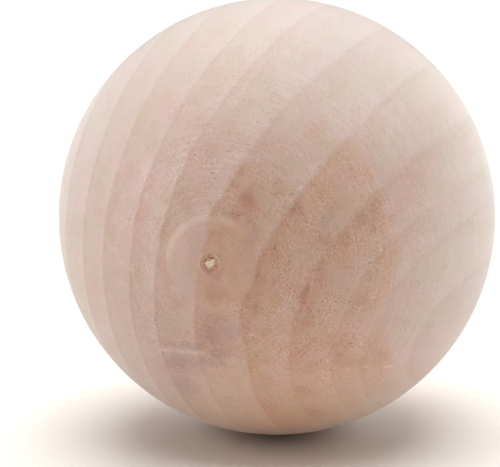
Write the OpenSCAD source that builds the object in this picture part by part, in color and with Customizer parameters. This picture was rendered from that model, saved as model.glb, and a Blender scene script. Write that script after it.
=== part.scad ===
// Turned wooden ball, one solid of wood, in millimetres.
// The blank was turned between centres with its grain along Y, so the two poles on Y show end grain.
// At each pole the waste was parted off and trimmed. That left a low round cap, a hair proud of the ball,
// with the pit of the lathe centre in its middle and a burr raised round the pit's mouth.
// In the front pit, at -Y, a sliver of torn fibres still stands.
// The origin is the centre of the ball, and +Z is up as the ball lies.

/* [Ball] */
// Diameter of the ball
ball_d = 61; // [40:0.5:100]

/* [Parting caps] */
// Diameter of the trimmed cap at each pole, measured at its foot
cap_d = 12.8; // [8:0.2:18]
// Height of the cap above the ball
cap_rise = 0.08; // [0.04:0.01:0.2]
// Width of the sloping edge of the cap
cap_edge_w = 0.9; // [0.4:0.1:1.5]

/* [Centre pits] */
// Diameter of the pit at its mouth
pit_d = 2.4; // [1.6:0.1:4]
// Diameter of the pit at its floor
pit_floor_d = 1.5; // [0.8:0.1:1.5]
// Depth of the pit below the top of the cap
pit_depth = 0.9; // [0.5:0.1:2]
// Width of the burr raised round the mouth
burr_w = 0.5; // [0.3:0.05:0.8]
// Height of the burr above the cap
burr_rise = 0.06; // [0.03:0.01:0.12]

/* [Torn fibres] */
// Length of the sliver across the front pit
sliver_l = 1.6; // [0.8:0.1:1.8]
// Width of the sliver at its broad end
sliver_w = 1.0; // [0.3:0.05:1.2]
// How far the tall end of the sliver stays below the top of the cap
sliver_drop = 0.15; // [0:0.05:0.4]
// Slope of the torn top of the sliver, in degrees
sliver_slope = 14; // [0:1:20]
// Turn of the sliver from level, seen from the front, in degrees
sliver_turn = 28; // [0:1:90]

/* [Hidden] */

WOOD = [0.80, 0.67, 0.59];
round_fn = 100;
small_fn = 48;

ball_r = ball_d / 2;
// The top of a cap is a piece of this larger sphere about the same centre
cap_top_r = ball_r + cap_rise;

// Height above the centre at which a sphere has a given radius across
function height_on(sphere_r, across_r) = sqrt(sphere_r * sphere_r - across_r * across_r);

cap_foot_r = cap_d / 2;
cap_brow_r = cap_foot_r - cap_edge_w;
cap_foot_h = height_on(ball_r, cap_foot_r);
cap_brow_h = height_on(cap_top_r, cap_brow_r);
// Radius that the sloping edge loses for each millimetre of height
edge_taper = cap_edge_w / (cap_brow_h - cap_foot_h);
// The sloping edge runs on into the ball by this much below the foot
edge_root = 0.2;

pit_r = pit_d / 2;
pit_mouth_h = height_on(cap_top_r, pit_r);
pit_floor_h = cap_top_r - pit_depth;
pit_taper = (pit_d - pit_floor_d) / 2 / (pit_mouth_h - pit_floor_h);
// The cutter for the pit runs on past the mouth by this much
mouth_over = 1;

// The burr is a round ring sunk in the cap, with its own radius set by its width and height
burr_ring_r = (burr_w * burr_w / 4 + burr_rise * burr_rise) / (2 * burr_rise);
burr_mid_r = pit_r + burr_w / 2;
burr_mid_h = height_on(cap_top_r, burr_mid_r) + burr_rise - burr_ring_r;

// The sliver is rooted this far below the floor of the pit
sliver_root = 0.3;
sliver_top_h = cap_top_r - sliver_drop;

// Cone that trims one cap, wide at its root in the ball and coming to a point above the pole
module cap_cone() {
    root_r = cap_foot_r + edge_root * edge_taper;
    translate([0, 0, cap_foot_h - edge_root])
        cylinder(h = root_r / edge_taper, r1 = root_r, r2 = 0, $fn = round_fn);
}

// The low proud cap at one pole
module parting_cap() {
    intersection() {
        sphere(r = cap_top_r, $fn = round_fn);
        cap_cone();
    }
}

// Burr of pressed fibres round the mouth of a pit
module burr() {
    translate([0, 0, burr_mid_h])
        rotate_extrude($fn = small_fn)
            translate([burr_mid_r, 0])
                circle(r = burr_ring_r, $fn = small_fn);
}

// Tapered pit of the lathe centre, open past its mouth
module centre_pit() {
    over_h = pit_mouth_h + mouth_over;
    translate([0, 0, pit_floor_h])
        cylinder(
            h = over_h - pit_floor_h,
            r1 = pit_floor_d / 2,
            r2 = pit_r + mouth_over * pit_taper,
            $fn = small_fn
        );
}

// Torn sliver of fibres, a ragged wedge that leans up to one end
module torn_sliver() {
    half_l = sliver_l / 2;
    half_w = sliver_w / 2;
    rotate([0, 0, sliver_turn])
        difference() {
            translate([0, 0, pit_floor_h - sliver_root])
                linear_extrude(height = sliver_top_h - pit_floor_h + sliver_root)
                    polygon([
                        [-half_l, 0.3 * half_w],
                        [-0.8 * half_l, -0.4 * half_w],
                        [-0.5 * half_l, -half_w],
                        [-0.1 * half_l, -0.9 * half_w],
                        [0.8 * half_l, -0.5 * half_w],
                        [half_l, 0.1 * half_w],
                        [0.7 * half_l, 0.5 * half_w],
                        [0, 0.5 * half_w],
                        [-0.6 * half_l, half_w]
                    ]);
            // The top is torn on a slope, from the low end up to the tall one
            translate([-half_l, -sliver_l, sliver_top_h])
                rotate([0, sliver_slope, 0])
                    cube([2 * sliver_l, 2 * sliver_l, sliver_l]);
        }
}

// One pole as the lathe left it: the cap, the burr and the pit
module pole_added() {
    parting_cap();
    burr();
}

// The whole ball in the lathe's frame, with its turning axis on Z and the front pole up
module turned_ball() {
    difference() {
        union() {
            sphere(r = ball_r, $fn = round_fn);
            pole_added();
            mirror([0, 0, 1]) pole_added();
        }
        centre_pit();
        mirror([0, 0, 1]) centre_pit();
    }
    torn_sliver();
}

// The ball as it lies, with its front pole at -Y
module ball() {
    color(WOOD) rotate([90, 0, 0]) turned_ball();
}

ball();
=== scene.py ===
import math

import bpy
from mathutils import Matrix, Vector


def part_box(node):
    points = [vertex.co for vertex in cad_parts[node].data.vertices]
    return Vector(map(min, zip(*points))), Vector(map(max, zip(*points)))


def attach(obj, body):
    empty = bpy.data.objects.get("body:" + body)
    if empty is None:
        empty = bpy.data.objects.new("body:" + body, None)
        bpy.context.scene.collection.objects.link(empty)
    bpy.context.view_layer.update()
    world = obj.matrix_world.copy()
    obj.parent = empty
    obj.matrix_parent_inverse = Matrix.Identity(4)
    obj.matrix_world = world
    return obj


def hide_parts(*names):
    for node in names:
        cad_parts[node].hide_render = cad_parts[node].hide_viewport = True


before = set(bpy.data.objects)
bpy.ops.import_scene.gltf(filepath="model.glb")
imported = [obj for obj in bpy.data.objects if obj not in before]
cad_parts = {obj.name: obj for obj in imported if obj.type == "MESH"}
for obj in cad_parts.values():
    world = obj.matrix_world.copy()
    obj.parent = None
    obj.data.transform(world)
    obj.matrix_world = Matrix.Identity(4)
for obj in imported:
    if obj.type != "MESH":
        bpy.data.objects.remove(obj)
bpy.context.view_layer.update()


# The turned ball: one blank of pale, pinkish, fine-pored hardwood, turned between centres along its grain.
# Its grain and turning axis run along Y. Each pole has the low cap left by parting off, with the centre's pit
# in the middle and a burr of pressed fibres round it. The wood is bare, sanded as it spun, and not varnished.
MM = 0.001
ball_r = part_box("ball")[1].x
arc_steps = 230
arc_clearance = 0.05 * MM
round_steps = 192
same_place = 0.001 * MM
seam_gap = 0.0005 * MM

cap_foot_r = 6.4 * MM
cap_edge_w = 0.9 * MM
cap_rise = 0.08 * MM
pit_r = 1.2 * MM
pit_floor_r = 0.75 * MM
pit_depth = 0.9 * MM
pit_wall_curve = 2.5
burr_w = 0.5 * MM
burr_rise = 0.06 * MM
burr_rag = 0.16 * MM
burr_rag_grain = 0.45 * MM
torn_from_r = pit_r + 0.4 * burr_w
torn_fade_w = 0.8 * burr_w


def height_on(sphere_r, across):
    """Height above the centre at which a sphere is that far across from the axis."""
    return math.sqrt(sphere_r ** 2 - across ** 2)


def ease(t):
    """A soft step from 0 to 1."""
    return t * t * (3 - 2 * t)


def shares(steps):
    """The shares of a way at each of its steps, the last being 1."""
    return [i / steps for i in range(1, steps + 1)]


def pole_section():
    """The section of one pole as (across, height), from the cap's foot up its edge and down into the pit."""
    cap_top_r = ball_r + cap_rise
    brow_r = cap_foot_r - cap_edge_w
    burr_foot_r = pit_r + burr_w
    mouth_h = height_on(cap_top_r, pit_r)
    floor_h = cap_top_r - pit_depth
    edge_steps, cap_steps, burr_steps, wall_steps, floor_steps = 9, 14, 9, 8, 6
    section = []
    for t in shares(edge_steps):
        across = cap_foot_r - t * cap_edge_w
        section.append((across, height_on(ball_r + cap_rise * ease(t), across)))
    for t in shares(cap_steps):
        across = brow_r + (burr_foot_r - brow_r) * t
        section.append((across, height_on(cap_top_r, across)))
    for t in shares(burr_steps):
        across = burr_foot_r - t * burr_w
        section.append((across, height_on(cap_top_r, across) + burr_rise * math.sin(math.pi * t)))
    for t in shares(wall_steps):
        across = pit_r + (pit_floor_r - pit_r) * t
        section.append((across, mouth_h + (floor_h - mouth_h) * t ** pit_wall_curve))
    for t in shares(floor_steps):
        section.append((pit_floor_r * (1 - t), floor_h))
    return section


def pick(piece, wanted):
    """Goes to edit mode with only the vertices selected whose place passes the test."""
    bpy.ops.object.mode_set(mode="EDIT")
    bpy.ops.mesh.select_mode(type="VERT")
    bpy.ops.mesh.select_all(action="DESELECT")
    bpy.ops.object.mode_set(mode="OBJECT")
    for corner in piece.data.vertices:
        corner.select = bool(wanted(corner.co))
    bpy.ops.object.mode_set(mode="EDIT")


def roughen(piece, name, strength, grain_size, zone=""):
    """Pushes a piece's surface, or one zone of it, in and out by random clouds of the given size."""
    clouds = bpy.data.textures.new(name, "CLOUDS")
    clouds.noise_scale = grain_size
    clouds.noise_depth = 2
    rough_up = piece.modifiers.new(name, "DISPLACE")
    rough_up.texture = clouds
    rough_up.texture_coords = "LOCAL"
    rough_up.strength = strength
    rough_up.mid_level = 0.5
    rough_up.vertex_group = zone
    bpy.context.view_layer.objects.active = piece
    bpy.ops.object.modifier_apply(modifier=rough_up.name)


# Half of the ball's outline is cut from a circle, and each end is drawn on into its pole
bpy.ops.object.select_all(action="DESELECT")
bpy.ops.mesh.primitive_circle_add(vertices=2 * arc_steps, radius=ball_r)
turned_ball = bpy.context.object
turned_ball.name = "turned_ball"
pick(turned_ball, lambda co: co.x < cap_foot_r + arc_clearance)
bpy.ops.mesh.delete(type="VERT")
for end in (-1, 1):
    bpy.ops.object.mode_set(mode="OBJECT")
    at = max((corner.co.copy() for corner in turned_ball.data.vertices), key=lambda co: end * co.y)
    pick(turned_ball, lambda co: (co - at).length < same_place)
    for across, height in [(cap_foot_r, height_on(ball_r, cap_foot_r))] + pole_section():
        step = Vector((across, end * height, 0)) - at
        bpy.ops.mesh.extrude_region_move(TRANSFORM_OT_translate={"value": step})
        at = at + step

# The outline is spun round the turning axis and its seam and poles are closed
bpy.ops.mesh.select_all(action="SELECT")
bpy.ops.mesh.spin(steps=round_steps, angle=2 * math.pi, center=(0, 0, 0), axis=(0, 1, 0))
bpy.ops.mesh.select_all(action="SELECT")
bpy.ops.mesh.remove_doubles(threshold=seam_gap)
bpy.ops.mesh.normals_make_consistent(inside=False)
bpy.ops.object.mode_set(mode="OBJECT")

# The lathe centre tore the fibres in both pits, so the burr and the pit are roughened
torn_zone = turned_ball.vertex_groups.new(name="torn_zone")
for corner in turned_ball.data.vertices:
    across = math.hypot(corner.co.x, corner.co.z)
    outside = max(0.0, across - torn_from_r) / torn_fade_w
    if outside < 1:
        torn_zone.add([corner.index], 1 - ease(outside), "REPLACE")
roughen(turned_ball, "torn_pits", burr_rag, burr_rag_grain, torn_zone.name)
bpy.ops.object.shade_smooth()


def add(tree, kind, feeds=None, **settings):
    """Adds a node, sets its options, and feeds each named input with a socket or a plain value."""
    node = tree.nodes.new(kind)
    for name, value in settings.items():
        setattr(node, name, value)
    for key, value in (feeds or {}).items():
        if isinstance(value, bpy.types.NodeSocket):
            tree.links.new(value, node.inputs[key])
        else:
            node.inputs[key].default_value = value
    return node


def reckon(tree, operation, first, second=0.0, third=0.0):
    """One sum on two or three numbers."""
    return add(tree, "ShaderNodeMath", {0: first, 1: second, 2: third}, operation=operation).outputs[0]


def times(tree, first, *others):
    """Numbers multiplied together."""
    for other in others:
        first = reckon(tree, "MULTIPLY", first, other)
    return first


def between(tree, share, at_none, at_full):
    """A value that goes evenly from one number to another as the share goes from 0 to 1."""
    return reckon(tree, "MULTIPLY_ADD", share, at_full - at_none, at_none)


def reckon_place(tree, operation, first, second=(0, 0, 0)):
    """One sum on two places."""
    return add(tree, "ShaderNodeVectorMath", {0: first, 1: second}, operation=operation).outputs[0]


def split(tree, place):
    """The X, Y and Z of a place."""
    return add(tree, "ShaderNodeSeparateXYZ", {0: place}).outputs


def crosswise(tree, place):
    """The place with its way along the grain left out."""
    return reckon_place(tree, "MULTIPLY", place, (1, 0, 1))


def span(tree, place):
    """How long a place is from the origin."""
    return add(tree, "ShaderNodeVectorMath", {0: place}, operation="LENGTH").outputs["Value"]


def step_soft(tree, value, low, high, to_low=0.0, to_high=1.0):
    """A soft step between two values."""
    feeds = {"Value": value, "From Min": low, "From Max": high, "To Min": to_low, "To Max": to_high}
    return add(tree, "ShaderNodeMapRange", feeds, interpolation_type="SMOOTHSTEP").outputs["Result"]


def speckle(tree, place, detail, roughness=0.5, output="Fac"):
    """Soft random values from 0 to 1, about one unit apart."""
    feeds = {"Vector": place, "Scale": 1.0, "Detail": detail, "Roughness": roughness}
    return add(tree, "ShaderNodeTexNoise", feeds).outputs[output]


def grains(tree, place, sizes, detail, roughness=0.5, output="Fac"):
    """Soft random values from 0 to 1 in grains of the given sizes, long where the size is large."""
    measured = reckon_place(tree, "MULTIPLY", place, tuple(1 / size for size in sizes))
    return speckle(tree, measured, detail, roughness, output)


def sway(tree, noise, reach):
    """A random value moved to lie about 0, with the given reach."""
    return between(tree, noise, -reach, reach)


def tint(tree, share, under, over, mode="MIX"):
    """One colour laid over another by a share."""
    feeds = {0: share, 6: under, 7: over}
    return add(tree, "ShaderNodeMix", feeds, data_type="RGBA", blend_type=mode).outputs[2]


def new_group(name, takes, gives):
    """An empty shader group with the named inputs, and number outputs of the given names."""
    group = bpy.data.node_groups.new(name, "ShaderNodeTree")
    for label, kind in takes.items():
        group.interface.new_socket(label, in_out="INPUT", socket_type="NodeSocket" + kind)
    for label in gives:
        group.interface.new_socket(label, in_out="OUTPUT", socket_type="NodeSocketFloat")
    return group, group.nodes.new("NodeGroupInput").outputs, group.nodes.new("NodeGroupOutput").inputs


def give(group, result, values):
    """Sends values out of a shader group by their names."""
    for label, value in values.items():
        group.links.new(value, result[label])


def use(tree, group, feeds):
    """Places a shader group in a material."""
    return add(tree, "ShaderNodeGroup", feeds, node_tree=group).outputs


blot_edge = 1.7, 0.15


def blots(tree, place, spots):
    """The strongest share of a list of soft oval blots that run along the grain."""
    strongest = 0.0
    for x, z, half_w, half_h, strength in spots:
        from_middle = reckon_place(tree, "SUBTRACT", place, (x, 0, z))
        away = span(tree, reckon_place(tree, "MULTIPLY", from_middle, (1 / half_w, 0, 1 / half_h)))
        strongest = reckon(tree, "MAXIMUM", strongest, step_soft(tree, away, *blot_edge, 0.0, strength))
    return strongest


# Growth rings: the tree's heart lay outside the blank, to the lower right, and the rings bow round it.
# They run along Y. Each one starts pale and darkens outwards until the next one starts.
# All shader sizes are in millimetres.
heart = 43.0, 0, -32.0
ring_flattening = 0.4
ring_edges = [
    13.0, 16.6, 19.8, 23.9, 26.65, 30.95, 36.2, 42.05, 47.25, 50.75, 54.85, 58.4, 62.3, 65.6, 69.0,
]
ring_edge_w = 0.24
ring_wander = 0.5
ring_wander_size = 11, 60, 11
ring_wander_along = -12, 10
ring_wander_share = 0.15, 1.0
ring_bend = 0.16
ring_bend_size = 3.2, 20, 3.2
ring_rag = 0.07
ring_rag_size = 0.7, 6, 0.7
ring_usual_r = 50.0
# The rings bow in or out in soft blots, each given by its middle (x, z), half width, half height and bow
ring_bows_in = [(14.0, 10.0, 8.0, 7.0, 0.45), (20.0, -8.0, 3.0, 5.0, 0.4), (4.5, -11.0, 3.0, 5.0, 0.2)]
ring_bows_out = [
    (22.0, 23.0, 6.0, 6.0, 0.6), (9.5, -18.0, 3.5, 5.0, 0.4), (14.0, -13.0, 3.0, 4.0, 0.3),
    (3.8, -6.5, 2.0, 3.5, 0.6), (-0.6, 6.6, 1.8, 2.0, 0.6),
]

rings, given, result = new_group("growth_rings", {"Place": "Vector"}, ["Tone", "Depth", "Round"])
spot = given["Place"]
wander = sway(rings, grains(rings, spot, ring_wander_size, detail=1.0), ring_wander)
steady = step_soft(rings, split(rings, spot)["Y"], *ring_wander_along, *ring_wander_share)
bow = reckon(rings, "SUBTRACT", blots(rings, spot, ring_bows_in), blots(rings, spot, ring_bows_out))
bend = sway(rings, grains(rings, spot, ring_bend_size, detail=1.0), ring_bend)
ragged = sway(rings, grains(rings, spot, ring_rag_size, detail=3.0), ring_rag)
from_heart = crosswise(rings, reckon_place(rings, "SUBTRACT", spot, heart))
way = split(rings, from_heart)
depth = reckon(rings, "MULTIPLY_ADD", way["Z"], -ring_flattening, span(rings, from_heart))
for unevenness in (times(rings, wander, steady), bow, bend, ragged):
    depth = reckon(rings, "ADD", depth, unevenness)
ring_feeds = {"Value": depth, "From Min": ring_edges[0], "From Max": ring_edges[-1]}
ring_share = add(rings, "ShaderNodeMapRange", ring_feeds).outputs["Result"]
tone = add(rings, "ShaderNodeValToRGB", {"Fac": ring_share})
ring_span = ring_edges[-1] - ring_edges[0]
white, black = (1, 1, 1, 1), (0, 0, 0, 1)
stops = tone.color_ramp.elements
stops[0].color = white
stops[1].color = black
for edge in ring_edges[1:-1]:
    middle = (edge - ring_edges[0]) / ring_span
    stops.new(middle - 0.5 * ring_edge_w / ring_span).color = black
    stops.new(middle + 0.5 * ring_edge_w / ring_span).color = white
around = reckon(rings, "ARCTAN2", way["Z"], times(rings, way["X"], -1.0))
give(rings, result, {
    "Tone": tone.outputs["Color"], "Depth": depth, "Round": times(rings, around, ring_usual_r)})

# The grain itself: rays that run out from the heart, pores drawn out along Y, fine fibres, dark specks,
# and broad fields in which the surface is rougher
ray_size = 2.2, 0.9, 0.13
ray_steps = 0.56, 0.72
pore_size = 0.28, 3.0, 0.28
pore_steps = 0.62, 0.78
fibre_size = 0.24, 5.0, 0.24
speck_size = 0.3, 2.4, 0.3
speck_steps = 0.66, 0.76
speck_field_size = 3.5, 12, 3.5
speck_field_steps = 0.42, 0.6
rough_field_size = 2.6, 9, 2.6
rough_field_steps = 0.38, 0.64
rough_field_range = 0.4, 1.7

grain, given, result = new_group(
    "wood_grain", {"Place": "Vector", "Depth": "Float", "Round": "Float"},
    ["Rays", "Pores", "Fibres", "Specks", "Rough Fields"])
spot = given["Place"]
ray_feeds = {"X": given["Depth"], "Y": split(grain, spot)["Y"], "Z": given["Round"]}
ray_spot = add(grain, "ShaderNodeCombineXYZ", ray_feeds).outputs[0]
specks = step_soft(grain, grains(grain, spot, speck_size, detail=0.0), *speck_steps)
speck_fields = step_soft(grain, grains(grain, spot, speck_field_size, detail=1.0), *speck_field_steps)
rough_fields = grains(grain, spot, rough_field_size, detail=2.0)
give(grain, result, {
    "Rays": step_soft(grain, grains(grain, ray_spot, ray_size, detail=1.0), *ray_steps),
    "Pores": step_soft(grain, grains(grain, spot, pore_size, detail=0.0), *pore_steps),
    "Fibres": grains(grain, spot, fibre_size, detail=2.0),
    "Specks": times(grain, specks, speck_fields),
    "Rough Fields": step_soft(grain, rough_fields, *rough_field_steps, *rough_field_range)})

# Sanding marks: the paper was held to the ball as it spun, so the scratches and pale lines run round the
# turning axis. A few loose strokes at other angles cross them.
scratch_w = 0.24
scratch_reach = 0.12
line_w = 0.34
line_shift = 7, 3, 5
line_steps = 0.62, 0.74
loose_turns = 12, 48, 83, 127, 160
loose_size = 1.7, 6.0, 0.2
loose_steps = 0.68, 0.75

sanding, given, result = new_group(
    "sanding_marks", {"Place": "Vector"}, ["Scratches", "Lines", "Loose", "Off Axis"])
spot = given["Place"]
across = crosswise(sanding, spot)
off_axis = span(sanding, across)
latitude = times(sanding, reckon(sanding, "ARCTAN2", off_axis, split(sanding, spot)["Y"]), ball_r / MM)
way = split(sanding, reckon_place(sanding, "NORMALIZE", across))
reach = times(sanding, off_axis, scratch_reach)
scratch_spot = add(sanding, "ShaderNodeCombineXYZ", {
    "X": times(sanding, way["X"], reach),
    "Y": reckon(sanding, "DIVIDE", latitude, scratch_w),
    "Z": times(sanding, way["Z"], reach)}).outputs[0]
line_spot = reckon_place(sanding, "MULTIPLY", scratch_spot, (1, scratch_w / line_w, 1))
line_spot = reckon_place(sanding, "ADD", line_spot, line_shift)
loose = 0.0
for turn in loose_turns:
    turn_feeds = {"Vector": spot, "Axis": (0, 1, 0), "Angle": math.radians(turn)}
    turned = add(sanding, "ShaderNodeVectorRotate", turn_feeds).outputs[0]
    strokes = step_soft(sanding, grains(sanding, turned, loose_size, detail=1.0), *loose_steps)
    loose = reckon(sanding, "MAXIMUM", loose, strokes)
give(sanding, result, {
    "Scratches": speckle(sanding, scratch_spot, detail=1.0, roughness=0.6),
    "Lines": step_soft(sanding, speckle(sanding, line_spot, detail=1.0), *line_steps),
    "Loose": loose,
    "Off Axis": off_axis})

# Stains in the wood: the inner rings have browned where the end grain opens on them, a grey patch lies below
# the front pit, and small brown flecks run along the grain. The same group also paints light and shade: warm
# shade along the bottom of the ball, pale patches of painted light, and cool patches of painted sheen. Each
# blot is its middle (x, z), its half width, its half height and its strength, as seen from the front.
red_flecks = [
    (4.3, 8.0, 1.1, 1.3, 1.0), (3.3, 6.6, 0.7, 0.6, 0.9), (10.6, 7.3, 1.0, 1.1, 0.8),
    (8.4, 2.0, 0.6, 1.3, 0.6), (18.4, 5.7, 0.9, 1.4, 0.9), (19.8, 5.6, 0.9, 2.0, 0.8),
    (5.3, -5.5, 0.8, 1.7, 0.8), (11.9, -5.5, 0.8, 2.6, 0.8), (13.5, -1.4, 0.9, 1.4, 0.5),
    (18.6, -5.2, 0.8, 1.0, 0.6), (15.4, -13.6, 0.8, 1.5, 0.7), (10.2, -18.6, 1.1, 1.1, 0.9),
    (5.1, -21.0, 1.2, 1.0, 0.7), (10.4, -22.8, 1.2, 1.3, 0.9), (0.4, -1.1, 1.3, 0.9, 1.0),
    (8.4, 10.2, 0.8, 1.2, 0.3), (8.9, -2.2, 0.9, 0.7, 0.5), (-7.0, -12.1, 1.0, 0.6, 0.5),
    (2.0, -12.0, 1.3, 0.8, 0.7), (1.8, -7.0, 1.3, 0.7, 0.5), (15.9, -14.6, 0.9, 0.6, 0.6),
    (6.1, 8.6, 0.8, 0.7, 0.4),
]
olive_flecks = [
    (3.5, 12.1, 1.1, 0.8, 1.0), (13.9, 3.2, 0.9, 0.8, 0.9), (16.7, 3.0, 0.7, 1.2, 0.5),
    (1.8, 4.2, 1.3, 0.8, 0.6), (4.0, 1.9, 1.0, 0.8, 0.5), (0.6, -3.9, 2.2, 1.7, 0.6),
    (20.8, -0.3, 0.7, 1.6, 0.2), (6.3, -3.6, 0.6, 1.5, 1.0), (10.3, -6.2, 0.6, 1.4, 0.9),
    (19.6, -13.5, 0.9, 1.3, 0.9), (12.2, -14.2, 1.0, 0.6, 0.8), (16.1, -11.0, 0.7, 1.8, 0.6),
    (11.1, -11.9, 1.0, 1.2, 0.5), (19.0, -19.6, 0.9, 1.7, 0.4), (19.9, 7.9, 0.7, 1.3, 0.6),
    (8.7, -11.5, 1.2, 1.2, 0.9), (16.9, -14.2, 1.3, 1.3, 0.9), (5.9, 10.2, 1.0, 1.2, 0.4),
    (9.8, 9.4, 1.0, 1.2, 0.7), (-1.5, 1.2, 1.6, 2.2, 0.5), (6.0, 12.3, 0.8, 0.9, 0.6),
    (3.0, 0.0, 2.8, 5.5, 0.3), (6.4, -1.8, 0.8, 1.4, 0.9), (6.1, -6.0, 0.9, 0.9, 0.6),
    (13.6, -8.0, 1.1, 0.8, 0.5), (9.6, -9.7, 1.0, 0.8, 0.6), (14.8, -11.9, 3.0, 2.5, 0.3),
    (11.6, -14.8, 1.2, 0.9, 0.6),
]
grey_patches = [
    (-0.5, -10.0, 2.6, 1.9, 0.85), (-4.1, -12.0, 4.4, 0.8, 0.9), (-5.6, -14.7, 3.4, 2.2, 1.0),
    (-6.4, -18.4, 2.6, 3.4, 0.9), (-2.0, -14.2, 3.0, 0.8, 0.8), (-0.1, -12.8, 2.0, 0.9, 1.0),
    (-8.3, -15.8, 2.4, 2.4, 0.9), (0.3, -7.8, 2.0, 1.2, 0.6), (1.4, -9.2, 2.0, 1.8, 0.7),
    (5.4, 3.4, 0.9, 1.5, 0.5), (4.7, 8.9, 0.8, 0.9, 0.45), (5.2, 5.8, 0.7, 1.2, 0.4),
    (14.2, 5.6, 0.6, 0.9, 0.4), (14.3, 2.6, 0.7, 0.7, 0.4), (-9.0, -11.0, 10.0, 9.0, 0.45),
    (-13.0, -18.0, 9.0, 9.0, 0.5), (-9.8, -12.2, 1.4, 1.0, 0.7),
]
brown_clouds = [
    (24.0, 18.0, 3.5, 4.0, 0.2), (27.0, 14.0, 2.5, 3.5, 0.2), (7.5, 14.8, 2.6, 1.3, 0.5),
    (4.4, 11.6, 0.9, 0.7, 0.8), (9.7, 8.0, 1.0, 0.8, 0.5), (5.8, 7.4, 3.0, 4.4, 0.9),
    (6.0, 4.2, 1.4, 2.4, 1.0), (14.2, 6.3, 1.0, 1.4, 0.8), (11.6, 16.7, 1.2, 1.2, 0.5),
    (6.8, -2.0, 0.8, 2.6, 0.9), (6.1, -4.6, 0.8, 2.0, 0.9), (13.6, 1.8, 1.6, 1.6, 0.9),
    (23.5, 9.0, 2.4, 4.0, 0.6), (15.0, -11.0, 3.2, 2.2, 0.7), (11.0, -12.5, 2.6, 2.2, 0.7),
    (15.5, -16.5, 3.8, 2.4, 0.8), (20.5, -18.5, 3.0, 2.5, 0.8), (1.0, -4.8, 2.6, 1.5, 1.0),
    (6.5, -11.5, 3.0, 2.0, 0.6), (10.3, -6.2, 0.7, 1.6, 0.8),
]
pink_patches = [
    (26.5, 14.0, 3.5, 7.0, 0.45), (12.5, 14.8, 2.6, 2.0, 0.7), (-7.0, -19.0, 3.2, 3.4, 0.9),
    (22.8, 11.2, 2.6, 3.2, 0.9), (19.0, -9.0, 8.0, 11.0, 0.6), (23.0, -15.0, 6.0, 7.0, 1.0),
    (22.0, 4.0, 5.0, 6.0, 0.6), (17.5, 12.0, 5.0, 4.0, 0.5),
]
# Painted light: pale patches that lighten the surface as extra light would, most of all on the right side,
# round the front cap's rim and low on the ball
painted_light_patches = [
    (23.5, 2.5, 5.5, 7.0, 1.0), (18.5, 10.5, 4.0, 3.5, 0.8), (28.0, -1.0, 3.0, 5.0, 0.9),
    (-8.7, 8.0, 3.0, 5.0, 0.5), (-8.6, -5.0, 2.4, 5.0, 0.45), (-1.6, -24.5, 4.5, 2.5, 0.6),
    (-4.3, 12.8, 2.2, 1.0, 0.5), (2.0, 5.0, 1.8, 0.8, 0.5), (17.0, 17.0, 6.0, 4.5, 1.0),
    (12.5, 10.5, 3.0, 3.5, 1.0), (27.0, 6.0, 4.0, 6.0, 0.9), (2.5, 2.0, 1.6, 3.0, 0.5),
    (-4.7, 2.8, 1.6, 3.0, 0.9), (12.5, 14.8, 2.6, 2.0, 0.7),
]
# Painted sheen: cool pale patches that lay a bluish-white sheen on the upper left and on the front cap's rim
painted_sheen_patches = [
    (-8.8, 10.0, 3.2, 4.5, 0.85), (-20.5, 11.5, 3.5, 4.0, 0.6), (-4.0, 4.6, 1.8, 1.6, 0.5),
    (-4.3, 12.8, 2.2, 1.0, 0.8), (2.0, 5.0, 1.8, 0.8, 0.9), (-4.0, 2.4, 1.0, 1.2, 0.8),
    (-4.5, 9.0, 2.0, 1.2, 0.7), (-4.5, -2.8, 1.6, 2.0, 1.0), (-9.0, 1.0, 2.6, 9.0, 1.0),
    (-16.0, 3.0, 5.0, 9.0, 0.4), (-7.5, 9.0, 3.0, 4.0, 0.6),
]
lilac_patches = [
    (15.3, 5.5, 1.4, 1.2, 0.8), (11.7, 1.7, 1.1, 1.3, 0.9), (9.8, -4.8, 0.9, 2.8, 0.8),
    (16.0, -3.0, 1.0, 2.5, 0.9), (7.1, 7.8, 0.6, 2.0, 0.8), (4.8, 4.8, 0.8, 1.0, 0.6),
    (18.9, 0.5, 0.7, 1.3, 0.6), (18.8, -7.5, 1.0, 2.1, 0.9), (7.0, -15.0, 1.0, 1.6, 0.8),
    (5.8, -18.4, 1.4, 1.8, 0.9), (3.1, -9.2, 0.7, 1.8, 0.8), (8.1, -7.3, 1.0, 1.2, 0.7),
    (17.8, 10.3, 2.0, 1.0, 0.8), (7.1, 6.2, 0.9, 1.6, 0.8), (18.8, -2.0, 1.2, 1.2, 0.8),
]
pale_nicks = [
    (16.0, -15.4, 0.35, 0.2, 0.8), (18.0, -15.3, 0.4, 0.25, 0.8), (20.3, -15.9, 0.55, 0.25, 1.0),
    (14.5, -14.9, 0.3, 0.2, 0.5), (-7.4, -13.25, 1.5, 0.18, 0.7), (-5.8, -13.15, 1.6, 0.2, 0.9),
    (-4.0, -12.95, 1.7, 0.2, 0.9), (-2.2, -12.8, 1.6, 0.18, 0.7), (-0.7, -12.7, 1.3, 0.16, 0.4),
    (-7.6, -16.7, 0.9, 0.14, 0.5), (-6.5, -16.9, 0.9, 0.14, 0.6), (-5.4, -17.15, 0.8, 0.14, 0.4),
]
# Painted shade: warm brown darkening along the bottom of the ball, where it stands in the floor's shadow and
# warm bounce
painted_shade_under = [(4.0, -29.0, 22.0, 8.0, 1.0), (6.0, -20.0, 13.0, 4.5, 0.35)]
fleck_rag = 0.5
fleck_rag_size = 1.3, 8, 1.3

# The blots fade out midway to the back. Some run on through the ball in streaks, but the grey patch and the
# nicks stay at the front.
front_along = 1.0, -5.0
run_on_size = 6, 14, 6
run_on_steps = 0.52, 0.62

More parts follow.
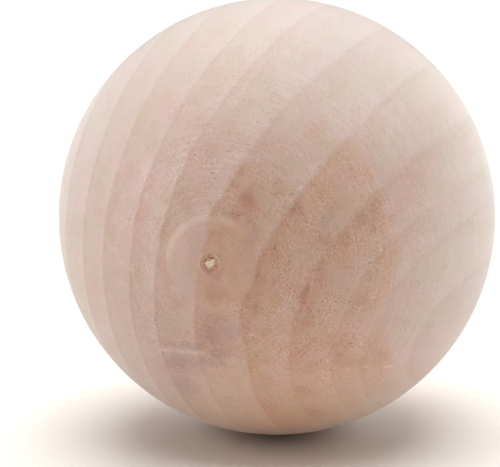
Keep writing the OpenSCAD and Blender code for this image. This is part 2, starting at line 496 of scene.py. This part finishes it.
# The browned rings end at a ragged rim round the axis, which lies further out low on the ball
brown_depths = 36.5, 35.7
brown_rims = 23.0, 21.4
half_brown_depths = 42.2, 41.6
half_brown_rims = 14.5, 10.0
half_brown = 0.55
rim_sway = 1.6
rim_sway_size = 3, 16, 3
low_heights = -8, -18
low_rim_shift = -5.0
brown_under_lilac = 0.5
brown_patch_size = 2.6, 16, 2.6
brown_patch_steps = 0.34, 0.62
brown_patch_range = 0.8, 1.05
tan_size = 2.4, 14, 2.4
tan_steps = 0.44, 0.64

stains_and_light, given, result = new_group(
    "wood_stains_and_painted_light", {"Place": "Vector", "Depth": "Float", "Off Axis": "Float"},
    ["Brown", "Red", "Olive", "Grey", "Shade Under", "Lilac", "Nicks", "Tan", "Pink", "Pale", "Cool"])
spot = given["Place"]
axes = split(stains_and_light, spot)
rag_noise = grains(stains_and_light, spot, fleck_rag_size, detail=2.0, output="Color")
rag_shift = reckon_place(stains_and_light, "SUBTRACT", rag_noise, (0.5, 0.5, 0.5))
rag_shift = reckon_place(stains_and_light, "MULTIPLY", rag_shift, (4 * fleck_rag, 0, 4 * fleck_rag))
ragged_spot = reckon_place(stains_and_light, "ADD", spot, rag_shift)
in_front = step_soft(stains_and_light, axes["Y"], *front_along)
run_on = step_soft(stains_and_light, grains(stains_and_light, spot, run_on_size, detail=1.0), *run_on_steps)
kept = reckon(stains_and_light, "MAXIMUM", in_front, run_on)
# The blots low on the ball are painted warm shade, the pale patches are painted light, and the cool patches
# are painted sheen
for label, spots in (("Red", red_flecks), ("Olive", olive_flecks), ("Shade Under", painted_shade_under),
                     ("Pink", pink_patches), ("Pale", painted_light_patches), ("Cool", painted_sheen_patches)):
    give(stains_and_light, result, {label: times(stains_and_light, blots(stains_and_light, ragged_spot, spots), kept)})
lilac = times(stains_and_light, blots(stains_and_light, ragged_spot, lilac_patches), kept)
clouds = times(stains_and_light, blots(stains_and_light, ragged_spot, brown_clouds), kept)
rim = sway(stains_and_light, grains(stains_and_light, spot, rim_sway_size, detail=3.0, roughness=0.6), rim_sway)
rim = reckon(stains_and_light, "ADD", given["Off Axis"], rim)
rim = reckon(stains_and_light, "ADD", rim, step_soft(stains_and_light, axes["Z"], *low_heights, 0.0, low_rim_shift))
inner = step_soft(stains_and_light, given["Depth"], *brown_depths)
inner = times(stains_and_light, inner, step_soft(stains_and_light, rim, *brown_rims))
middle = step_soft(stains_and_light, given["Depth"], *half_brown_depths)
middle = times(stains_and_light, middle, step_soft(stains_and_light, rim, *half_brown_rims, 0.0, half_brown))
patches = grains(stains_and_light, spot, brown_patch_size, detail=2.0)
brown = times(
    stains_and_light, reckon(stains_and_light, "MAXIMUM", inner, middle),
    between(stains_and_light, lilac, 1.0, brown_under_lilac),
    step_soft(stains_and_light, patches, *brown_patch_steps, *brown_patch_range))
give(stains_and_light, result, {
    "Brown": reckon(stains_and_light, "MAXIMUM", brown, clouds),
    "Lilac": lilac,
    "Grey": times(stains_and_light, blots(stains_and_light, ragged_spot, grey_patches), in_front),
    "Nicks": times(stains_and_light, blots(stains_and_light, spot, pale_nicks), in_front),
    "Tan": step_soft(stains_and_light, grains(stains_and_light, spot, tan_size, detail=2.0, roughness=0.45), *tan_steps)})

# The wood's colours, as linear light, and the tints of its rings, stains and marks and of its painted light
# and shade, which multiply them
side_pale = (0.66, 0.552, 0.50, 1)
side_deep = (0.592, 0.47, 0.408, 1)
end_pale = (0.655, 0.466, 0.398, 1)
end_deep = (0.585, 0.38, 0.30, 1)
late_tint = (0.972, 0.95, 0.937, 1)
pink_tint = (1.025, 0.987, 1.015, 1)
sallow_tint = (0.985, 1.012, 0.97, 1)
dot_pink = (1.008, 0.994, 1.008, 1)
dot_green = (0.992, 1.006, 0.992, 1)
brown_tint = (0.985, 0.865, 0.77, 1)
tan_tint = (0.955, 0.915, 0.845, 1)
red_tint = (0.89, 0.77, 0.72, 1)
olive_tint = (0.90, 0.84, 0.73, 1)
grey_tint = (0.74, 0.68, 0.70, 1)
# painted shade: the warm darkening along the bottom of the ball
painted_shade_under_tint = (1.04, 0.80, 0.55, 1)
lilac_tint = (0.985, 0.98, 1.02, 1)
stain_pink_tint = (0.99, 0.925, 0.925, 1)
# painted light: an even paling of the pale patches
painted_light_tint = (1.08, 1.08, 1.08, 1)
# painted sheen: a bluish-white lightening
painted_sheen_tint = (1.03, 1.05, 1.10, 1)
ray_tint = (0.95, 0.93, 0.92, 1)
pore_tint = (0.91, 0.88, 0.86, 1)
pit_tint = (0.98, 0.88, 0.78, 1)
turned_tint = (0.965, 0.95, 0.94, 1)
speck_tint = (0.74, 0.69, 0.69, 1)
line_tint = (1.03, 1.045, 1.055, 1)
loose_tint = (1.09, 1.12, 1.14, 1)
# painted highlight: the upper side of each cap's rim made paler and bluer
cap_rim_highlight_tint = (1.09, 1.13, 1.15, 1)
cap_pale_tint = (0.985, 1.0, 1.005, 1)
cap_deep_tint = (0.99, 0.97, 0.935, 1)
nick_tint = (1.17, 1.24, 1.30, 1)
dust_tint = (0.8, 1.0, 1.15)


def new_wood(name):
    """A material of bare wood, its nodes and its shader, and the place on the piece in millimetres."""
    material = bpy.data.materials.new(name)
    material.use_nodes = True
    nodes = material.node_tree
    object_place = add(nodes, "ShaderNodeTexCoord").outputs["Object"]
    scaled = add(nodes, "ShaderNodeVectorMath", {0: object_place, "Scale": 1 / MM}, operation="SCALE")
    return material, nodes, nodes.nodes["Principled BSDF"], scaled.outputs[0]


sanded_wood, tree, wood, place = new_wood("sanded_wood")
axes = split(tree, place)
ring = use(tree, rings, {"Place": place})
depth = ring["Depth"]
fine = use(tree, grain, {"Place": place, "Depth": depth, "Round": ring["Round"]})
marks = use(tree, sanding, {"Place": place})
off_axis = marks["Off Axis"]
stain_and_light = use(tree, stains_and_light, {"Place": place, "Depth": depth, "Off Axis": off_axis})

# Where the surface cuts across the grain, where it is on a cap, and where it is down in a pit
end_grain_power = 2.2
cap_edge = cap_foot_r / MM + 0.1, cap_foot_r / MM - 0.6
pit_edge = pit_r / MM - 0.1, pit_r / MM - 0.35
end_on = reckon(tree, "ABSOLUTE", reckon(tree, "DIVIDE", axes["Y"], ball_r / MM))
end_on = reckon(tree, "POWER", end_on, end_grain_power)
on_cap = step_soft(tree, off_axis, *cap_edge)
in_pit = step_soft(tree, off_axis, *pit_edge)

# Each ring's tone, which is fainter in places, at the top, near the heart, on the caps and over the stained
# end grain. The last blots are given as those of the stains. A thin late line closes each ring.
usual_range = 0.3, 0.7
ring_fade_size = 7, 25, 7
ring_fade_range = 0.75, 1.2
top_heights = 20, 8
top_fade = 0.5, 1.0
heart_depths = 22, 38
heart_fade = 0.55, 1.0
cap_quiet = 0.6
quiet_rings = [
    (17.0, 5.0, 10.0, 12.0, 0.45), (-1.0, -16.0, 5.0, 6.5, 0.7), (7.0, -21.0, 9.0, 6.0, 0.45),
    (27.0, 9.0, 6.0, 10.0, 0.5), (5.2, -4.5, 1.8, 6.0, 0.4), (4.0, -13.0, 2.0, 6.0, 0.4),
    (-17.0, 8.0, 5.0, 7.0, 0.3), (-26.0, -4.0, 6.0, 14.0, 0.12),
]
tone_power = 1.4
tone_mean = 0.417
tone_middle = 0.45
late_steps = 0.14, 0.03
faint_late = 0.5
quiet = reckon(tree, "MAXIMUM", blots(tree, place, quiet_rings), times(tree, on_cap, cap_quiet))
fade_noise = grains(tree, place, ring_fade_size, detail=2.0)
ring_fade = times(
    tree, step_soft(tree, fade_noise, *usual_range, *ring_fade_range),
    step_soft(tree, axes["Z"], *top_heights, *top_fade),
    step_soft(tree, depth, *heart_depths, *heart_fade),
    reckon(tree, "SUBTRACT", 1.0, quiet))
sawtooth = reckon(tree, "SUBTRACT", reckon(tree, "POWER", ring["Tone"], tone_power), tone_mean)
tone = reckon(tree, "MULTIPLY_ADD", sawtooth, ring_fade, tone_middle)
late = times(tree, step_soft(tree, ring["Tone"], *late_steps), between(tree, ring_fade, faint_late, 1.0))

# The soft change of hue over the wood, and the brown and tan stains, which are weaker on pale rings and
# on side grain and caps
hue_size = 4, 16, 4
dot_size = 0.9, 4, 0.9
brown_on_deep, brown_on_pale = 1.03, 0.78
tan_on_side = 0.35
tan_on_cap = 0.65
hue = step_soft(tree, grains(tree, place, hue_size, detail=2.0), *usual_range)
hue_tint = tint(tree, hue, pink_tint, sallow_tint)
dots = step_soft(tree, grains(tree, place, dot_size, detail=0.0), *usual_range)
dot_tint = tint(tree, dots, dot_pink, dot_green)
brown = times(tree, stain_and_light["Brown"], between(tree, tone, brown_on_deep, brown_on_pale))
tan = times(
    tree, stain_and_light["Tan"], between(tree, end_on, tan_on_side, 1.0), between(tree, on_cap, 1.0, tan_on_cap))

# A painted highlight lies on the upper side of each cap's rim, where the raised rim faces the overhead light.
# The marks of work and handling: the caps are smoother, and fine grooves ring the pits. The grain is finer
# in the outer rings and coarser near the heart.
highlight_way = -0.4, 0, 0.9
highlight_arc = -0.1, 0.95
highlight_inner_edge = 5.1, 5.9
highlight_outer_edge = 6.7, 6.2
outer_depths = 58, 46
outer_grain = 0.4, 1.0
inner_depths = 38, 26
inner_grain = 1.0, 1.4
cap_grain = 0.4
groove_pitch = 0.42
groove_steps = -0.4, 0.9
groove_reach = 2.8, 1.6
pores_on_side = 0.3
cap_tone_depths = 41.9, 42.2
outwards = reckon_place(tree, "NORMALIZE", crosswise(tree, place))
highlight_feeds = {0: outwards, 1: highlight_way}
to_highlight = add(tree, "ShaderNodeVectorMath", highlight_feeds, operation="DOT_PRODUCT").outputs["Value"]
cap_rim_highlight = times(
    tree, step_soft(tree, off_axis, *highlight_inner_edge), step_soft(tree, off_axis, *highlight_outer_edge),
    step_soft(tree, to_highlight, *highlight_arc))
outer_fine = step_soft(tree, depth, *outer_depths, *outer_grain)
inner_coarse = step_soft(tree, depth, *inner_depths, *inner_grain)
coarse = times(tree, outer_fine, inner_coarse, between(tree, on_cap, 1.0, cap_grain))
loose = times(tree, marks["Loose"], end_on, coarse, fine["Rough Fields"])
lines = times(tree, marks["Lines"], coarse)
specks = times(tree, fine["Specks"], end_on, coarse)
pores = times(tree, fine["Pores"], between(tree, end_on, pores_on_side, 1.0), outer_fine)
grooves = reckon(tree, "SINE", times(tree, off_axis, 2 * math.pi / groove_pitch))
grooves = times(tree, step_soft(tree, grooves, *groove_steps), step_soft(tree, off_axis, *groove_reach))
cap_tint = tint(tree, step_soft(tree, depth, *cap_tone_depths), cap_deep_tint, cap_pale_tint)

colour = tint(tree, end_on, tint(tree, tone, side_deep, side_pale), tint(tree, tone, end_deep, end_pale))
# Among these tints, painted shade darkens the bottom, and painted light, painted sheen and a painted
# highlight on each cap's upper rim lighten the wood
for share, over in (
        (late, late_tint), (1.0, hue_tint), (1.0, dot_tint), (brown, brown_tint), (tan, tan_tint),
        (stain_and_light["Red"], red_tint), (stain_and_light["Olive"], olive_tint), (stain_and_light["Grey"], grey_tint),
        (stain_and_light["Shade Under"], painted_shade_under_tint), (stain_and_light["Lilac"], lilac_tint), (stain_and_light["Pink"], stain_pink_tint),
        (stain_and_light["Pale"], painted_light_tint), (stain_and_light["Cool"], painted_sheen_tint), (fine["Rays"], ray_tint),
        (pores, pore_tint), (in_pit, pit_tint), (grooves, turned_tint), (specks, speck_tint),
        (lines, line_tint), (loose, loose_tint), (cap_rim_highlight, cap_rim_highlight_tint), (on_cap, cap_tint),
        (stain_and_light["Nicks"], nick_tint)):
    colour = tint(tree, share, colour, over, "MULTIPLY")

# Sanding dust and torn fibres make the open end grain speckled, most of all where it is stained
scratch_light = 0.15
scratches_on_side = 0.25
scratches_where_smooth = 0.4
mottle_size = 1.3, 8, 1.3
mottle_light = 0.035
fibre_light = 0.095
fibres_on_side = 0.5
fibres_on_end, fibres_on_stain = 1.5, 3.1
scratched = times(
    tree, sway(tree, marks["Scratches"], scratch_light), coarse,
    between(tree, end_on, scratches_on_side, 1.0),
    between(tree, fine["Rough Fields"], scratches_where_smooth, 1.0))
mottled = sway(tree, grains(tree, place, mottle_size, detail=2.0), mottle_light)
stained = reckon(tree, "MAXIMUM", stain_and_light["Brown"], stain_and_light["Grey"])
open_grain = between(tree, stained, fibres_on_end, fibres_on_stain)
open_grain = reckon(tree, "MULTIPLY_ADD", end_on, open_grain, fibres_on_side)
fibrous = times(tree, sway(tree, fine["Fibres"], fibre_light), open_grain, coarse, fine["Rough Fields"])
light = reckon(tree, "ADD", scratched, reckon(tree, "ADD", mottled, fibrous))
light = reckon_place(tree, "ADD", reckon_place(tree, "MULTIPLY", light, dust_tint), (1, 1, 1))
colour = tint(tree, 1.0, colour, light, "MULTIPLY")
tree.links.new(colour, wood.inputs["Base Color"])

wood_roughness, cap_roughness = 0.6, 0.48
scratch_roughness = 0.6
scratch_height = 4.0
pore_depth = 0.6
bump_strength = 0.6
bump_height = 0.02 * MM
rough = between(tree, on_cap, wood_roughness, cap_roughness)
rough = reckon(tree, "ADD", rough, times(tree, scratched, scratch_roughness))
tree.links.new(rough, wood.inputs["Roughness"])
height = reckon(tree, "SUBTRACT", times(tree, scratched, scratch_height), times(tree, pores, pore_depth))
bump = add(tree, "ShaderNodeBump", {"Height": height, "Strength": bump_strength, "Distance": bump_height})
tree.links.new(bump.outputs["Normal"], wood.inputs["Normal"])
wood.inputs["Specular IOR Level"].default_value = 0.5
wood.inputs["Sheen Weight"].default_value = 0.5
wood.inputs["Sheen Roughness"].default_value = 0.5

turned_ball.data.materials.append(sanded_wood)
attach(turned_ball, "root")
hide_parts("ball")


# The bed of torn fibres: when the front waste was snapped off, the wood in the pit tore and left a rough
# floor. It is the ball's own wood, browned and matted, and it hides the bottom of the front pit.
bed_r = 1.6 * MM
bed_half_h = 0.40 * MM
bed_sink = 0.52 * MM
bed_mid_y = -ball_r - cap_rise + bed_sink
bed_rag = 0.16 * MM
bed_rag_grain = 0.20 * MM

bpy.ops.object.select_all(action="DESELECT")
bpy.ops.mesh.primitive_ico_sphere_add(subdivisions=5, radius=bed_r)
torn_bed = bpy.context.object
torn_bed.name = "torn_bed"
bpy.ops.object.mode_set(mode="EDIT")
bpy.ops.transform.resize(value=(1, bed_half_h / bed_r, 1))
bpy.ops.transform.translate(value=(0, bed_mid_y, 0))
bpy.ops.object.mode_set(mode="OBJECT")
roughen(torn_bed, "bed_rag", bed_rag, bed_rag_grain)
bpy.ops.object.shade_smooth()

bed_brown = (0.54, 0.32, 0.21, 1)
bed_tan = (0.72, 0.49, 0.36, 1)
# painted shade: the dark gaps between the torn fibres
cranny_shade_tint = (0.45, 0.34, 0.28, 1)
bruise_tint = (0.95, 0.72, 0.62, 1)
cranny_shade_blots = [(-0.10, 0.72, 0.45, 0.16, 0.8), (-0.80, -0.10, 0.16, 0.30, 0.8), (-0.66, 0.34, 0.2, 0.2, 0.6)]
bruises = [(0.62, -0.35, 0.5, 0.35, 1.0), (0.15, -0.95, 0.9, 0.35, 0.7)]
mat_size = 0.25, 0.6, 0.25
mat_steps = 0.35, 0.65
cranny_shade_steps = 0.6, 0.4
bed_roughness = 0.95, 0.75
torn_wood, tree, fibre, place = new_wood("torn_wood")
matted = grains(tree, place, mat_size, detail=3.0, roughness=0.6)
colour = tint(tree, step_soft(tree, matted, *mat_steps), bed_brown, bed_tan)
# Painted shade darkens the crannies where the matted fibres are low
cranny_shade = times(tree, blots(tree, place, cranny_shade_blots), step_soft(tree, matted, *cranny_shade_steps))
colour = tint(tree, cranny_shade, colour, cranny_shade_tint, "MULTIPLY")
colour = tint(tree, blots(tree, place, bruises), colour, bruise_tint, "MULTIPLY")
tree.links.new(colour, fibre.inputs["Base Color"])
tree.links.new(step_soft(tree, matted, *usual_range, *bed_roughness), fibre.inputs["Roughness"])
torn_bed.data.materials.append(torn_wood)
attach(torn_bed, "root")


# The torn chip: a stub of clean, pale wood that stayed behind when the front waste was snapped off.
# It stands on the torn bed with its fibres along Y. It has a broad cream lobe, and a narrow one to the right
# whose right part is darkened with painted shade.
broad_lobe = [
    (-0.72, 0.04), (-0.67, 0.22), (-0.34, 0.32), (-0.06, 0.34), (0.15, 0.38), (0.32, 0.17), (0.35, -0.14),
    (0.10, -0.44), (-0.24, -0.55), (-0.55, -0.37),
]
narrow_lobe = [
    (-0.09, 0.16), (0.08, 0.48), (0.34, 0.70), (0.64, 0.74), (0.80, 0.52), (0.62, 0.14), (0.42, -0.18),
    (0.15, -0.12),
]
# Each lobe is its outline, how far its top lies under the top of the cap, and its top's slope to the right
lobes = [(broad_lobe, -0.04 * MM, math.radians(5)), (narrow_lobe, 0.02 * MM, math.radians(7))]
lobe_r = 0.7 * MM
chip_h = 0.60 * MM
chip_edge = 0.05 * MM
chip_rag = 0.08 * MM
chip_rag_grain = 0.16 * MM


def join(pieces, name):
    """Joins pieces into the first of them, with a smooth surface and a name."""
    bpy.ops.object.select_all(action="DESELECT")
    for piece in pieces:
        piece.select_set(True)
    bpy.context.view_layer.objects.active = pieces[0]
    bpy.ops.object.join()
    bpy.ops.object.shade_smooth()
    pieces[0].name = name
    return pieces[0]


chips = []
for outline, top_drop, slope in lobes:
    top_y = -ball_r - cap_rise + top_drop
    bpy.ops.object.select_all(action="DESELECT")
    bpy.ops.mesh.primitive_circle_add(vertices=len(outline), radius=lobe_r, fill_type="NGON")
    chip = bpy.context.object
    for number, (right, up) in enumerate(outline):
        bpy.ops.object.mode_set(mode="OBJECT")
        corner = chip.data.vertices[number].co.copy()
        pick(chip, lambda co: (co - corner).length < same_place)
        bpy.ops.transform.translate(value=Vector((right * MM, top_y, up * MM)) - corner)
    bpy.ops.mesh.select_all(action="SELECT")
    bpy.ops.mesh.extrude_region_move(TRANSFORM_OT_translate={"value": (0, chip_h, 0)})
    bpy.ops.mesh.select_all(action="SELECT")
    bpy.ops.mesh.normals_make_consistent(inside=False)
    pick(chip, lambda co: co.y < top_y + 0.5 * chip_h)
    tall_end = outline[0][0] * MM, top_y, 0
    bpy.ops.transform.rotate(value=-slope, orient_axis="Z", center_override=tall_end)
    bpy.ops.mesh.select_all(action="SELECT")
    bpy.ops.mesh.bevel(offset=chip_edge, segments=2, affect="EDGES")
    bpy.ops.object.mode_set(mode="OBJECT")
    smooth = chip.modifiers.new("worn_round", "SUBSURF")
    smooth.levels = smooth.render_levels = 3
    bpy.ops.object.modifier_apply(modifier=smooth.name)
    roughen(chip, "chip_rag", chip_rag, chip_rag_grain)
    chips.append(chip)
torn_chip = join(chips, "torn_chip")

chip_cream = (0.86, 0.70, 0.58, 1)
chip_grey = (0.64, 0.54, 0.44, 1)
# painted shade on the chip's narrow right lobe
chip_painted_shade = (0.58, 0.42, 0.30, 1)
break_size = 0.3, 0.9, 0.3
break_steps = 0.42, 0.66
shade_across = 0.1, 0.7
chip_roughness = 0.7, 0.9
clean_wood, tree, fibre, place = new_wood("clean_torn_wood")
broken = grains(tree, place, break_size, detail=3.0, roughness=0.6)
colour = tint(tree, step_soft(tree, broken, *break_steps), chip_cream, chip_grey)
# Painted shade: the chip darkens towards its right
colour = tint(tree, step_soft(tree, split(tree, place)["X"], *shade_across), colour, chip_painted_shade)
tree.links.new(colour, fibre.inputs["Base Color"])
tree.links.new(step_soft(tree, broken, *usual_range, *chip_roughness), fibre.inputs["Roughness"])
torn_chip.data.materials.append(clean_wood)
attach(torn_chip, "root")


# The torn splinters: single bundles of fibres that still stand round the chip, mostly above and left of it.
# Each is the same tapering, bent bundle of the ball's own wood, rooted in the torn bed.
splinter_r = 0.13 * MM
splinter_sides = 8
splinter_l = 0.62 * MM
splinter_joints = 5
splinter_bend = 0.035 * MM
splinter_taper = 0.76, 0.9, 1
# Each splinter is its turn round the pit and distance from the middle, its share of full length, and its lean
splinters = [
    (72, 0.72, 1.0, 12), (84, 0.90, 0.9, -8), (95, 0.70, 1.1, 14), (107, 0.88, 1.0, 5), (118, 0.70, 1.1, 18),
    (131, 0.90, 0.9, -10), (146, 0.78, 1.0, 15), (166, 0.95, 0.8, 10), (200, 0.95, 0.8, 20),
    (228, 0.95, 0.7, 14), (318, 0.80, 0.8, 10), (340, 0.86, 0.8, 16),
]

bpy.ops.object.select_all(action="DESELECT")
bpy.ops.mesh.primitive_circle_add(vertices=splinter_sides, radius=splinter_r, fill_type="NGON")
splinter = bpy.context.object
bpy.ops.object.mode_set(mode="EDIT")
bpy.ops.mesh.select_all(action="SELECT")
for joint in range(splinter_joints):
    step = Vector((splinter_bend * joint, 0, splinter_l / splinter_joints))
    bpy.ops.mesh.extrude_region_move(TRANSFORM_OT_translate={"value": step})
    bpy.ops.transform.resize(value=splinter_taper)
bpy.ops.mesh.select_all(action="SELECT")
bpy.ops.mesh.normals_make_consistent(inside=False)
bpy.ops.object.mode_set(mode="OBJECT")
copies = []
for turn, reach, length, lean in splinters:
    copy = bpy.data.objects.new("splinter", splinter.data.copy())
    bpy.context.scene.collection.objects.link(copy)
    root = Matrix.Rotation(-math.radians(turn), 4, "Y") @ Matrix.Translation((reach * MM, bed_mid_y, 0))
    stand = Matrix.Rotation(math.radians(lean), 4, "Z") @ Matrix.Rotation(math.radians(90), 4, "X")
    copy.data.transform(root @ stand @ Matrix.Diagonal((1, 1, length, 1)))
    copies.append(copy)
bpy.data.objects.remove(splinter)
torn_splinters = join(copies, "torn_splinters")

splinter_deep = (0.38, 0.20, 0.12, 1)
splinter_orange = (0.80, 0.49, 0.30, 1)
streak_size = 0.15, 0.5, 0.15
streak_steps = 0.42, 0.62
splinter_roughness = 0.9, 0.65
splinter_wood, tree, fibre, place = new_wood("splinter_wood")
streaked = grains(tree, place, streak_size, detail=2.0, roughness=0.6)
colour = tint(tree, step_soft(tree, streaked, *streak_steps), splinter_deep, splinter_orange)
tree.links.new(colour, fibre.inputs["Base Color"])
tree.links.new(step_soft(tree, streaked, *usual_range, *splinter_roughness), fibre.inputs["Roughness"])
torn_splinters.data.materials.append(splinter_wood)
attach(torn_splinters, "root")


# The floor, the lights and the camera: a pale table under soft white panels, seen from a little above.
# The panels hang overhead and stand at both sides, so the side turned to the camera is the quieter one.
camera_azimuth = math.radians(16.25)
camera_elevation = math.radians(12.1)
camera_distance = 0.380
floor_side = 1.6
table_cream = (0.93, 0.89, 0.84, 1)
table_roughness = 0.8

bpy.ops.object.select_all(action="DESELECT")
bpy.ops.mesh.primitive_plane_add(size=floor_side, location=(0, 0, -ball_r))
floor = bpy.context.object
floor.name = "floor"
table_top = bpy.data.materials.new("pale_table")
table_top.use_nodes = True
matt = table_top.node_tree.nodes["Principled BSDF"]
matt.inputs["Base Color"].default_value = table_cream
matt.inputs["Roughness"].default_value = table_roughness
floor.data.materials.append(table_top)

# Each panel is its place to the right of the ball, away from the camera and up, its side and its power
panels = [
    ("overhead", (0.0, 0.0, 0.95), 1.0, 12.2),
    ("over_back", (0.0, 0.65, 0.75), 1.0, 2.9),
    ("left_panel", (-0.95, 0.0, 0.35), 0.8, 4.5),
    ("right_panel", (0.95, 0.0, 0.35), 0.8, 2.5),
    ("right_back", (0.72, 0.72, 0.30), 0.8, 3.0),
]
panel_white = 0.99, 1.0, 1.0
for name, seen_at, side, power in panels:
    light = bpy.data.lights.new(name, "AREA")
    light.shape = "SQUARE"
    light.size = side
    light.energy = power
    light.color = panel_white
    lamp = bpy.data.objects.new(name, light)
    lamp.location = Matrix.Rotation(camera_azimuth, 3, "Z") @ Vector(seen_at)
    lamp.rotation_mode = "QUATERNION"
    lamp.rotation_quaternion = (-lamp.location).to_track_quat("-Z", "Y")
    bpy.context.scene.collection.objects.link(lamp)

# Behind the floor the camera sees a pale wall of light, which adds only a faint fill to the ball
wall_white = (0.96, 0.95, 0.93, 1)
fill_strength = 0.02
sky = bpy.data.worlds.new("pale_backdrop")
sky.use_nodes = True
tree = sky.node_tree
fill = tree.nodes["Background"]
fill.inputs["Color"].default_value = white
fill.inputs["Strength"].default_value = fill_strength
wall = add(tree, "ShaderNodeBackground", {"Color": wall_white, "Strength": 1.0})
seen = add(tree, "ShaderNodeLightPath").outputs["Is Camera Ray"]
backdrop = add(tree, "ShaderNodeMixShader", {0: seen, 1: fill.outputs[0], 2: wall.outputs[0]})
tree.links.new(backdrop.outputs[0], tree.nodes["World Output"].inputs["Surface"])
bpy.context.scene.world = sky
bpy.context.scene.view_settings.view_transform = "Standard"

# The camera stands where the ball has its place and size in the picture, in pixels of a 500 by 467 frame
photo_w = 500
photo_h = 467
ball_px = 276.7, 216.4
ball_px_r = 218.4
sensor_w = 36.0
near_clip = 0.01

back = Vector((
    math.sin(camera_azimuth) * math.cos(camera_elevation),
    -math.cos(camera_azimuth) * math.cos(camera_elevation),
    math.sin(camera_elevation),
))
focal_px = ball_px_r * math.sqrt(camera_distance ** 2 - ball_r ** 2) / ball_r
lens = bpy.data.cameras.new("camera")
lens.sensor_width = sensor_w
lens.lens = focal_px * sensor_w / photo_w
lens.clip_start = near_clip
camera = bpy.data.objects.new("camera", lens)
bpy.context.scene.collection.objects.link(camera)
camera.location = back * camera_distance
looking = (-back).to_track_quat("-Z", "Y")
right, up = looking @ Vector((1, 0, 0)), looking @ Vector((0, 1, 0))
aim = -back - right * (ball_px[0] - photo_w / 2) / focal_px + up * (ball_px[1] - photo_h / 2) / focal_px
camera.rotation_mode = "QUATERNION"
camera.rotation_quaternion = aim.to_track_quat("-Z", "Y")
bpy.context.scene.camera = camera
